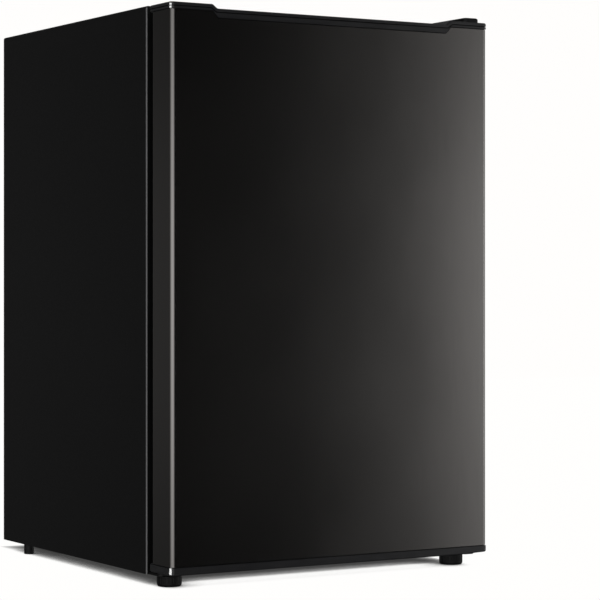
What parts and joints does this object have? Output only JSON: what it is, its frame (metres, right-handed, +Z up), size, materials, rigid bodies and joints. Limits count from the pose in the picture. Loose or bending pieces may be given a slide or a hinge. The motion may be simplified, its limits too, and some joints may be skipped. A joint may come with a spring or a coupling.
{
  "type": "mini fridge",
  "caption": "Compact freestanding refrigerator with one smooth dark metal door, black cabinet, freezer box, glass shelves and door bins.",
  "frame": {"origin": "on the floor, under the middle of the appliance's bounding box", "axes": "+Z up, -Y out of the door's front face, +X to the right of a person facing the door, where the hinge is"},
  "size_m": [0.4424, 0.474, 0.6792],
  "materials": {
    "black_steel": "matte",
    "black_stainless": "satin",
    "black_gloss_plastic": "gloss",
    "black_plastic": "matte",
    "white_plastic": "satin",
    "clear_plastic": "gloss",
    "glass": "gloss",
    "foam": "matte",
    "galvanised_steel": "satin",
    "zinc_plate": "satin",
    "seal_rubber": "matte",
    "magnet": "matte",
    "compressor_paint": "satin",
    "copper": "satin",
    "aluminium": "satin",
    "nylon": "matte"
  },
  "bodies": {
    "cabinet": {"outer_wrap": "black_steel", "back_panel": "black_steel", "base_pan": "galvanised_steel", "front_lower_rail": "black_steel", "compartment_panel": "galvanised_steel", "inner_liner": "white_plastic", "cabinet_foam": "foam", "compressor": "compressor_paint", "compressor_grommets": "seal_rubber", "compressor_bolts": "zinc_plate", "relay_cover": "black_plastic", "cord_gland": "black_plastic", "drain_pan": "black_plastic", "drain_tube": "nylon", "process_tube": "copper", "condenser_coil": "copper", "discharge_tube": "copper", "filter_drier": "copper", "suction_tube": "copper", "capillary_tube": "copper", "evaporator": "aluminium", "evaporator_hangers": "nylon", "freezer_frame": "white_plastic", "thermostat_housing": "white_plastic", "thermostat_switch": "zinc_plate", "top_hinge_bracket": "zinc_plate", "top_hinge_cover": "black_plastic", "hinge_pins": "zinc_plate", "top_hinge_screws": "zinc_plate", "spare_hole_plugs": "black_plastic", "bottom_hinge_bracket": "black_steel", "left_foot_bracket": "black_steel", "bottom_bracket_screws": "zinc_plate", "foot_studs": "zinc_plate", "rear_feet": "black_plastic"},
    "door": {"door_skin": "black_stainless", "door_top_cap": "black_gloss_plastic", "door_bottom_cap": "black_gloss_plastic", "door_liner": "white_plastic", "door_foam": "foam", "door_gasket": "seal_rubber", "gasket_magnets": "magnet", "hinge_bushes": "nylon"},
    "upper_bin": {"door_bin_upper": "clear_plastic"},
    "middle_bin": {"door_bin_middle": "clear_plastic"},
    "bottle_bin": {"door_bin_bottle": "clear_plastic"},
    "upper_shelf": {"shelf_upper_glass": "glass", "shelf_upper_front_trim": "white_plastic", "shelf_upper_rear_trim": "white_plastic"},
    "lower_shelf": {"shelf_lower_glass": "glass", "shelf_lower_front_trim": "white_plastic", "shelf_lower_rear_trim": "white_plastic"},
    "tray": {"drip_tray": "clear_plastic"},
    "freezer_door": {"freezer_flap": "white_plastic"},
    "thermostat_dial": {"thermostat_knob": "black_plastic", "thermostat_shaft": "nylon"},
    "left_foot": {"levelling_foot_left": "black_plastic"},
    "right_foot": {"levelling_foot_right": "black_plastic"}
  },
  "joints": [
    {"name": "door_hinge", "type": "hinge", "parent": "cabinet", "child": "door", "pos_m": [0.205, -0.211, 0.34], "axis": [0, 0, 1], "range_deg": [0, 120]},
    {"name": "upper_bin_lift", "type": "slide", "parent": "door", "child": "upper_bin", "axis": [0, 0, 1], "range_m": [0, 0.018]},
    {"name": "middle_bin_lift", "type": "slide", "parent": "door", "child": "middle_bin", "axis": [0, 0, 1], "range_m": [0, 0.018]},
    {"name": "bottle_bin_lift", "type": "slide", "parent": "door", "child": "bottle_bin", "axis": [0, 0, 1], "range_m": [0, 0.018]},
    {"name": "upper_shelf_slide", "type": "slide", "parent": "cabinet", "child": "upper_shelf", "axis": [0, -1, 0], "range_m": [0, 0.055]},
    {"name": "lower_shelf_slide", "type": "slide", "parent": "cabinet", "child": "lower_shelf", "axis": [0, -1, 0], "range_m": [0, 0.055]},
    {"name": "drip_tray_slide", "type": "slide", "parent": "cabinet", "child": "tray", "axis": [0, -1, 0], "range_m": [0, 0.07]},
    {"name": "freezer_flap_hinge", "type": "hinge", "parent": "cabinet", "child": "freezer_door", "pos_m": [0, -0.054, 0.619], "axis": [-1, 0, 0], "range_deg": [0, 88]},
    {"name": "thermostat_dial_turn", "type": "hinge", "parent": "cabinet", "child": "thermostat_dial", "pos_m": [0.15, 0.01, 0.44], "axis": [-1, 0, 0], "range_deg": [0, 270]},
    {"name": "left_foot_height", "type": "slide", "parent": "cabinet", "child": "left_foot", "axis": [0, 0, -1], "range_m": [0, 0.005]},
    {"name": "right_foot_height", "type": "slide", "parent": "cabinet", "child": "right_foot", "axis": [0, 0, -1], "range_m": [0, 0.005]}
  ]
}
